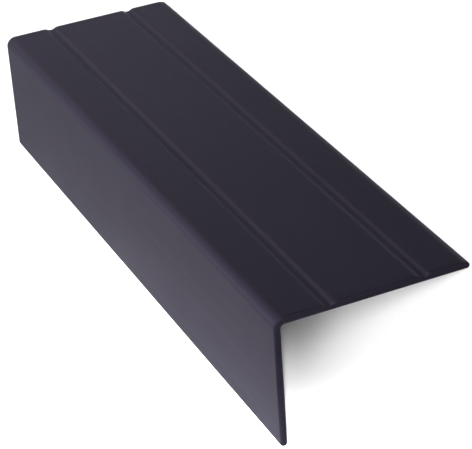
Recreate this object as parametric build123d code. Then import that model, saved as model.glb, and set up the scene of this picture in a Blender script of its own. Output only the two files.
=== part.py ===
from build123d import *
import os
from math import asin, atan2, degrees, sqrt

# A stair nosing: one length of extruded aluminium angle that wraps the front edge of a step.
# The wide leg lies on the tread and the narrow leg hangs down the riser.

# Driving dimensions, in millimetres
length = 180.0  # along the step's edge
tread_depth = 51.0  # front face to back edge
riser_height = 35.0  # top face to foot
tread_wall = 2.0
riser_wall = 1.8
nose_radius = 2.75  # outside of the bend
corner_radius = 1.0  # inside of the bend
crown_radius = 5.0  # top face easing down to the back edge
tip_radius = 0.8  # back edge, where the crown meets the underside
groove_width = 4.4
groove_depth = 0.6
front_groove_offset = 14.0  # front face to the groove's centre line
back_groove_inset = 12.5  # back edge to the groove's centre line

# The section is drawn as it sits on a step: X runs back from the riser's front face,
# and Y runs up to the tread's top face at 0. The riser's foot is a half round.
foot_radius = riser_wall / 2
foot_centre = Vector(foot_radius, foot_radius - riser_height)

# The tip's round leaves some of the wall to the crown above it.
tip_share_of_wall = 0.45
tip = min(tip_radius, tip_share_of_wall * tread_wall)
tip_centre = Vector(tread_depth - tip, tip - tread_wall)

# The crown is tangent to the top face and to the tip's arc, which sets where it starts and ends.
crown_run = sqrt((tread_wall - 2 * tip) * (2 * crown_radius - tread_wall))
crown_centre = Vector(tip_centre.X - crown_run, -crown_radius)
crown_end = tip_centre + (tip_centre - crown_centre).normalized() * tip


def groove(centre):
    """A shallow trough in the top face: a round bottom between two rounded lips."""
    lip = groove_width / 2
    wall = lip / 2
    half_depth = groove_depth / 2
    front_lip = TangentArc((centre - lip, 0), (centre - wall, -half_depth), tangent=(1, 0))
    back_lip = TangentArc((centre + lip, 0), (centre + wall, -half_depth), tangent=(-1, 0))
    bottom = ThreePointArc(front_lip @ 1, (centre, -groove_depth), back_lip @ 1)
    return front_lip, bottom, back_lip


front_groove = groove(front_groove_offset)
back_groove = groove(tread_depth - back_groove_inset)
nose_start = (0, -nose_radius)
nose_end = (nose_radius, 0)
crown_start = (crown_centre.X, 0)
underside_back = (tip_centre.X, -tread_wall)
underside_front = (riser_wall + corner_radius, -tread_wall)
riser_back_top = (riser_wall, -tread_wall - corner_radius)
riser_back_foot = (riser_wall, foot_centre.Y)
riser_front_foot = (0, foot_centre.Y)

# The outline runs up the riser's front, over the nose, back along the tread and home underneath.
outline = [
    Line(riser_front_foot, nose_start),
    TangentArc(nose_start, nose_end, tangent=(0, 1)),
    Line(nose_end, front_groove[0] @ 0),
    *front_groove,
    Line(front_groove[-1] @ 0, back_groove[0] @ 0),
    *back_groove,
    Line(back_groove[-1] @ 0, crown_start),
    TangentArc(crown_start, crown_end, tangent=(1, 0)),
    TangentArc(underside_back, crown_end, tangent=(1, 0)),
    Line(underside_back, underside_front),
    TangentArc(underside_front, riser_back_top, tangent=(-1, 0)),
    Line(riser_back_top, riser_back_foot),
    TangentArc(riser_back_foot, riser_front_foot, tangent=(0, -1)),
]
section = make_face(outline)

# Extruding along the step's edge puts the section's X and Y on the part's Y and Z.
on_step = extrude(Plane.YZ * section, amount=length)

# Unheld, the angle lies like a tent on its foot and its back edge, with the nose on top. The floor
# is the line that touches both rounds from below.
span = tip_centre - foot_centre
floor_slope = atan2(span.Y, span.X) + asin((foot_radius - tip) / span.length)
resting = Rot(X=-degrees(floor_slope)) * on_step

# The origin is on the floor, at the middle of the resting piece.
box = resting.bounding_box()
stair_nose = Pos(-box.center().X, -box.center().Y, -box.min.Z) * resting

os.makedirs("parts", exist_ok=True)
export_step(stair_nose, "parts/stair_nose.step")
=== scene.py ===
from math import asin, atan, atan2, cos, pi, radians, sin, sqrt

import bpy
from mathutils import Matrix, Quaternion, Vector


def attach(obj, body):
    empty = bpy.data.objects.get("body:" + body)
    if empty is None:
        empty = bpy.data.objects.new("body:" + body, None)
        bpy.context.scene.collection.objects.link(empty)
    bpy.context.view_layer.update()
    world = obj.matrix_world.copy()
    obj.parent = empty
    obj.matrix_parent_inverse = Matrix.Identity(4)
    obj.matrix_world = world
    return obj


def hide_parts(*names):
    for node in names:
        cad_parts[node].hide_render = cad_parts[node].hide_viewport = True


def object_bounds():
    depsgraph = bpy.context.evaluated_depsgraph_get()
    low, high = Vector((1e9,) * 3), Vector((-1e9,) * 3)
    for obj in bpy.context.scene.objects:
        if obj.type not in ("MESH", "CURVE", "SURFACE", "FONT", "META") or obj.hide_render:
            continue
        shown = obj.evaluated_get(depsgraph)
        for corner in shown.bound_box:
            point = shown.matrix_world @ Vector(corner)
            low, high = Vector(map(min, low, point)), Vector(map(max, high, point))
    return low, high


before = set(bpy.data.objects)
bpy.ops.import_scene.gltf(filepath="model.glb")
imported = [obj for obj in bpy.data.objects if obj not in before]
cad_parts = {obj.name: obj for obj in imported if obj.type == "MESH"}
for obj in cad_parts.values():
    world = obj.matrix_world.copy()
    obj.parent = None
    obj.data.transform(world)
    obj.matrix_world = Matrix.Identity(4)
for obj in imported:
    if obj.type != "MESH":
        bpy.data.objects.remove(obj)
cad_low, cad_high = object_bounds()

# The nosing
# One length of aluminium angle, pressed through a die as a single piece, sawn square at both ends and
# then anodised black all over. Its wide leg lies on a step and its narrow leg covers the step's front.
MM = 0.001
tread_depth = 51 * MM
riser_height = 35 * MM
tread_wall = 2 * MM
riser_wall = 1.8 * MM
nose_radius = 2.75 * MM
corner_radius = 1 * MM
crown_radius = 5 * MM
tip_radius = 0.8 * MM
foot_radius = riser_wall / 2
groove_width = 4.4 * MM
groove_depth = 0.6 * MM
groove_offsets = (14 * MM, tread_depth - 12.5 * MM)
arris_radius = 0.5 * MM  # the sawn edges are rubbed down before the metal is dyed
arris_steps = 5
arc_step = radians(6)


def arc(centre, radius, start, end):
    """Points on a round of the section, each with its outward direction.

    A round that bulges out runs clockwise, and a hollow one runs the other way.
    """
    steps = max(2, round(abs(end - start) / arc_step))
    outward = 1 if end < start else -1
    found = []
    for step in range(steps + 1):
        angle = start + (end - start) * step / steps
        spoke = Vector((cos(angle), sin(angle)))
        found.append((centre + spoke * radius, spoke * outward))
    return found


def groove(offset):
    """A shallow trough in the top face: a round bottom between two rounded lips."""
    lip = groove_width / 2
    radius = (lip**2 + groove_depth**2) / (4 * groove_depth)
    turn = 2 * atan(groove_depth / lip)
    up, down = pi / 2, -pi / 2
    return [
        *arc(Vector((offset - lip, -radius)), radius, up, up - turn),
        *arc(Vector((offset, radius - groove_depth)), radius, down - turn, down + turn)[1:-1],
        *arc(Vector((offset + lip, -radius)), radius, up + turn, up),
    ]


# The section as it sits on a step, clockwise from the riser's front. X runs back from the riser's face and
# Y runs up to the tread's top face.
foot_centre = Vector((foot_radius, foot_radius - riser_height))
tip_centre = Vector((tread_depth - tip_radius, tip_radius - tread_wall))
crown_run = sqrt((tread_wall - 2 * tip_radius) * (2 * crown_radius - tread_wall))
crown_centre = Vector((tip_centre.x - crown_run, -crown_radius))
crown_end = atan2(tip_centre.y - crown_centre.y, crown_run)
corner_centre = Vector((riser_wall + corner_radius, -tread_wall - corner_radius))
outline = [
    *arc(Vector((nose_radius, -nose_radius)), nose_radius, pi, pi / 2),
    *groove(groove_offsets[0]),
    *groove(groove_offsets[1]),
    *arc(crown_centre, crown_radius, pi / 2, crown_end),
    *arc(tip_centre, tip_radius, crown_end, -pi / 2)[1:],
    *arc(corner_centre, corner_radius, pi / 2, pi),
    *arc(foot_centre, foot_radius, 0, -pi),
]

# Unheld, it lies like a tent on its foot and its back edge, which sets the turn from step to floor.
span = tip_centre - foot_centre
floor_slope = atan2(span.y, span.x) + asin((foot_radius - tip_radius) / span.length)


def lay_down(point):
    """Turns a place or a direction of the section from the step to the floor."""
    return Vector((
        point.x * cos(floor_slope) + point.y * sin(floor_slope),
        point.y * cos(floor_slope) - point.x * sin(floor_slope),
    ))


resting_foot_centre = Vector((cad_low.y + foot_radius, cad_low.z + foot_radius))
resting_shift = resting_foot_centre - lay_down(foot_centre)
half_length = (cad_high.x - cad_low.x) / 2

# Each ring is the section at one place along the length. At the sawn ends the rings step in, which rounds
# the edges of the end faces.
rings = []
for end in (-1, 1):
    turns = [pi / 2 * step / arris_steps for step in range(arris_steps + 1)]
    for turn in turns if end > 0 else reversed(turns):
        along = end * (half_length - arris_radius * (1 - sin(turn)))
        inset = arris_radius * (1 - cos(turn))
        rings.append((along, inset, end * turn))

points = []
directions = []
for along, inset, turn in rings:
    for place, outward in outline:
        place = lay_down(place - outward * inset) + resting_shift
        outward = lay_down(outward)
        points.append((along, place.x, place.y))
        directions.append(Vector((sin(turn), outward.x * cos(turn), outward.y * cos(turn))))

count = len(outline)
faces = []
for ring in range(len(rings) - 1):
    for spot in range(count):
        after = (spot + 1) % count
        here = ring * count
        there = here + count
        faces.append((here + spot, there + spot, there + after, here + after))
last_ring = (len(rings) - 1) * count
faces.append(tuple(range(count)))
faces.append(tuple(reversed(range(last_ring, last_ring + count))))

mesh = bpy.data.meshes.new("nosing")
mesh.from_pydata(points, [], faces)
mesh.validate()
mesh.shade_smooth()
mesh.normals_split_custom_set_from_vertices(directions)
nosing = bpy.data.objects.new("nosing", mesh)
bpy.context.scene.collection.objects.link(nosing)


def linear(colour):
    """An sRGB hex colour as linear red, green and blue, with full alpha."""
    shares = [int(colour[place:place + 2], 16) / 255 for place in (1, 3, 5)]
    return (*[s / 12.92 if s <= 0.04045 else ((s + 0.055) / 1.055) ** 2.4 for s in shares], 1.0)


def add(tree, kind, inputs=None, **settings):
    """Adds a shader node with its settings; an input is a value or another node's output."""
    made = tree.nodes.new(kind)
    for name, value in settings.items():
        setattr(made, name, value)
    for name, value in (inputs or {}).items():
        if isinstance(value, bpy.types.NodeSocket):
            tree.links.new(value, made.inputs[name])
        else:
            made.inputs[name].default_value = value
    return made


# Black anodised aluminium: pressed metal, etched to a satin, with a hard oxide skin that is dyed through.
# The eye gets a near-black metal with a violet cast, soft wide reflections, faint die lines along the
# length and arcs of tooth marks on the sawn ends.
dye_thin = linear("#2E2B37")
dye_thick = linear("#282530")
sawn_dye = linear("#201D26")  # the rough ends hold more of it
glancing_tint = linear("#D4D3D8")  # the dye keeps even low reflections a little dark and violet
satin_roughness = (0.47, 0.53)
sawn_roughness = 0.6
sawn_facing = (0.6, 0.95)  # how squarely a face looks along the length before it counts as sawn
streak_range = (0.6, 1.4)  # nearly all sums of the die lines and the dye's clouds lie in here
die_line_spacing = 0.5 * MM  # real lines lie closer; these are as coarse as the picture can show
die_line_length = 90 * MM
etch_grain = 0.22 * MM  # real etch pits are a tenth of this
dye_cloud = 24 * MM
tooth_mark_spacing = 0.3 * MM
saw_radius = 127 * MM
line_height = 0.002 * MM
grain_height = 0.004 * MM
tooth_height = 0.012 * MM

black_anodised = bpy.data.materials.new("black_anodised_aluminium")
black_anodised.use_nodes = True
tree = black_anodised.node_tree
tree.nodes.clear()
coordinates = add(tree, "ShaderNodeTexCoord").outputs
place = coordinates["Object"]
facing = add(tree, "ShaderNodeSeparateXYZ", {"Vector": coordinates["Normal"]})
endwise = add(tree, "ShaderNodeMath", {0: facing.outputs["X"]}, operation="ABSOLUTE")
sawn = add(tree, "ShaderNodeMapRange", {
    "Value": endwise.outputs[0], "From Min": sawn_facing[0], "From Max": sawn_facing[1],
}).outputs["Result"]

drawn = add(tree, "ShaderNodeMapping", {
    "Vector": place,
    "Scale": (1 / die_line_length, 1 / die_line_spacing, 1 / die_line_spacing),
})
die_lines = add(tree, "ShaderNodeTexNoise", {
    "Vector": drawn.outputs["Vector"], "Scale": 1.0, "Detail": 2.0, "Roughness": 0.6,
}).outputs["Fac"]
grain = add(tree, "ShaderNodeTexNoise", {
    "Vector": place, "Scale": 1 / etch_grain, "Detail": 1.0,
}).outputs["Fac"]
cloud = add(tree, "ShaderNodeTexNoise", {
    "Vector": place, "Scale": 1 / dye_cloud, "Detail": 3.0,
}).outputs["Fac"]

# The saw's teeth leave arcs about the blade's centre, which stood above the nose.
across = add(tree, "ShaderNodeMapping", {"Vector": place, "Scale": (0, 1, 1)})
from_blade = add(tree, "ShaderNodeVectorMath", {
    0: across.outputs["Vector"], 1: (0, 0, saw_radius),
}, operation="DISTANCE")
teeth = add(tree, "ShaderNodeMath", {
    0: from_blade.outputs["Value"], 1: 1 / tooth_mark_spacing,
}, operation="MULTIPLY")
tooth_marks = add(tree, "ShaderNodeTexNoise", {
    "W": teeth.outputs[0], "Scale": 1.0, "Detail": 1.0,
}, noise_dimensions="1D").outputs["Fac"]

skin = add(tree, "ShaderNodeMix", {
    "Factor": cloud, "A": dye_thick, "B": dye_thin,
}, data_type="RGBA").outputs["Result"]
dye = add(tree, "ShaderNodeMix", {
    "Factor": sawn, "A": skin, "B": sawn_dye,
}, data_type="RGBA").outputs["Result"]
streaks = add(tree, "ShaderNodeMath", {0: die_lines, 1: cloud}, operation="ADD")
satin = add(tree, "ShaderNodeMapRange", {
    "Value": streaks.outputs[0], "From Min": streak_range[0], "From Max": streak_range[1],
    "To Min": satin_roughness[0], "To Max": satin_roughness[1],
})
roughness = add(tree, "ShaderNodeMix", {
    "Factor": sawn, "A": satin.outputs["Result"], "B": sawn_roughness,
})

line_relief = add(tree, "ShaderNodeMath", {0: die_lines, 1: line_height}, operation="MULTIPLY")
tooth_relief = add(tree, "ShaderNodeMath", {0: tooth_marks, 1: tooth_height}, operation="MULTIPLY")
made_relief = add(tree, "ShaderNodeMix", {
    "Factor": sawn, "A": line_relief.outputs[0], "B": tooth_relief.outputs[0],
})
relief = add(tree, "ShaderNodeMath", {
    0: grain, 1: grain_height, 2: made_relief.outputs["Result"],
}, operation="MULTIPLY_ADD")
bump = add(tree, "ShaderNodeBump", {"Height": relief.outputs[0], "Distance": 1.0})

shader = add(tree, "ShaderNodeBsdfPrincipled", {
    "Base Color": dye,
    "Metallic": 1.0,
    "Roughness": roughness.outputs["Result"],
    "Specular Tint": glancing_tint,
    "Normal": bump.outputs["Normal"],
})
add(tree, "ShaderNodeOutputMaterial", {"Surface": shader.outputs["BSDF"]})
mesh.materials.append(black_anodised)

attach(nosing, "root")
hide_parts("stair_nose")

# The floor
# A wide sheet of white paper under the nosing, so brightly lit that it shows as plain white around it, with
# soft grey shade only in under the angle.
floor_half = 3.0
floor_corners = [(x * floor_half, y * floor_half, 0) for x, y in ((-1, -1), (1, -1), (1, 1), (-1, 1))]
floor_mesh = bpy.data.meshes.new("floor")
floor_mesh.from_pydata(floor_corners, [], [(0, 1, 2, 3)])
floor = bpy.data.objects.new("floor", floor_mesh)
bpy.context.scene.collection.objects.link(floor)

# White paper: matt and almost without gloss, so the eye gets an even white.
paper_colour = linear("#F4F4F4")
paper_roughness = 0.9
paper_gloss = 0.1
white_paper = bpy.data.materials.new("white_paper")
white_paper.use_nodes = True
tree = white_paper.node_tree
tree.nodes.clear()
shader = add(tree, "ShaderNodeBsdfPrincipled", {
    "Base Color": paper_colour,
    "Roughness": paper_roughness,
    "Specular IOR Level": paper_gloss,
})
add(tree, "ShaderNodeOutputMaterial", {"Surface": shader.outputs["BSDF"]})
floor_mesh.materials.append(white_paper)

# The light
# Large soft boxes stand around the table in a nearly dark room. Narrow gridded lamps brighten the paper by
# the riser's foot and behind the tread, and the satin metal picks that up along the foot and in the grooves.
room_strength = 0.01
world = bpy.data.worlds.new("room")
world.use_nodes = True
background = world.node_tree.nodes["Background"]
background.inputs["Color"].default_value = linear("#FFFFFF")
background.inputs["Strength"].default_value = room_strength
bpy.context.scene.world = world
light_aim = Vector((0, 0, 10)) * MM
far_foot_aim = Vector((30, -42, 0)) * MM
foot_aim = Vector((60, -40, 0)) * MM
near_foot_aim = Vector((90, -36, 0)) * MM
behind_aim = Vector((-160, 130, 0)) * MM
open_spread = pi
foot_spread = radians(2.5)
behind_spread = radians(6)
lamps = (
    # name, azimuth and elevation in degrees, reach, width, height, watts, spread, aim
    ("key_panel", 0, 35, 1.0, 1.4, 0.5, 12.7, open_spread, light_aim),
    ("left_box", -45, 35, 1.0, 0.8, 0.8, 8.4, open_spread, light_aim),
    ("top_box", 90, 78, 1.0, 0.5, 0.5, 6.0, open_spread, light_aim),
    ("back_panel", 180, 25, 3.0, 1.4, 1.0, 20.3, open_spread, light_aim),
    ("back_panel_right", 160, 12, 3.0, 1.4, 1.0, 13.1, open_spread, light_aim),
    ("back_panel_high", -160, 40, 3.0, 1.4, 1.0, 12.1, open_spread, light_aim),
    ("back_panel_left", -140, 25, 3.0, 1.4, 1.0, 34.4, open_spread, light_aim),
    ("back_box_low", -136, 13, 3.0, 0.8, 0.5, 8.8, open_spread, light_aim),
    ("far_foot_strip", -2, 38, 1.0, 0.02, 0.15, 0.0138, foot_spread, far_foot_aim),
    ("foot_strip", -2, 38, 1.0, 0.02, 0.1, 0.0137, foot_spread, foot_aim),
    ("near_foot_strip", -2, 38, 1.0, 0.02, 0.05, 0.0091, foot_spread, near_foot_aim),
    ("behind_strip", 120, 70, 1.0, 0.2, 0.1, 0.3, behind_spread, behind_aim),
)
for name, azimuth, elevation, reach, width, height, watts, spread, aim in lamps:
    light = bpy.data.lights.new(name, "AREA")
    light.shape = "RECTANGLE"
    light.size = width
    light.size_y = height
    light.energy = watts
    light.spread = spread
    box = bpy.data.objects.new(name, light)
    around = radians(azimuth)
    rise = radians(elevation)
    away = Vector((cos(rise) * cos(around), cos(rise) * sin(around), sin(rise)))
    box.location = aim + away * reach
    box.rotation_euler = away.to_track_quat("Z", "Y").to_euler()
    bpy.context.scene.collection.objects.link(box)

# The camera
# It looks down along the nosing from one end, turned so that the tread shows level as it does on a step.
# The focal length is given in pixels, for a picture of the width below.
picture_width = 472
focal_pixels = 2055.3
view_azimuth = radians(-0.634)
view_elevation = radians(36.755)
view_roll = radians(-43.834)
view_aim = Vector((46.141, -1.997, 23.464)) * MM
view_distance = 499.07 * MM
camera_data = bpy.data.cameras.new("camera")
camera_data.lens = camera_data.sensor_width * focal_pixels / picture_width
camera = bpy.data.objects.new("camera", camera_data)
back = Vector((
    cos(view_elevation) * cos(view_azimuth),
    cos(view_elevation) * sin(view_azimuth),
    sin(view_elevation),
))
camera.location = view_aim + back * view_distance
camera.rotation_mode = "QUATERNION"
camera.rotation_quaternion = back.to_track_quat("Z", "Y") @ Quaternion((0, 0, 1), view_roll)
bpy.context.scene.collection.objects.link(camera)
bpy.context.scene.camera = camera
bpy.context.scene.view_settings.view_transform = "Standard"
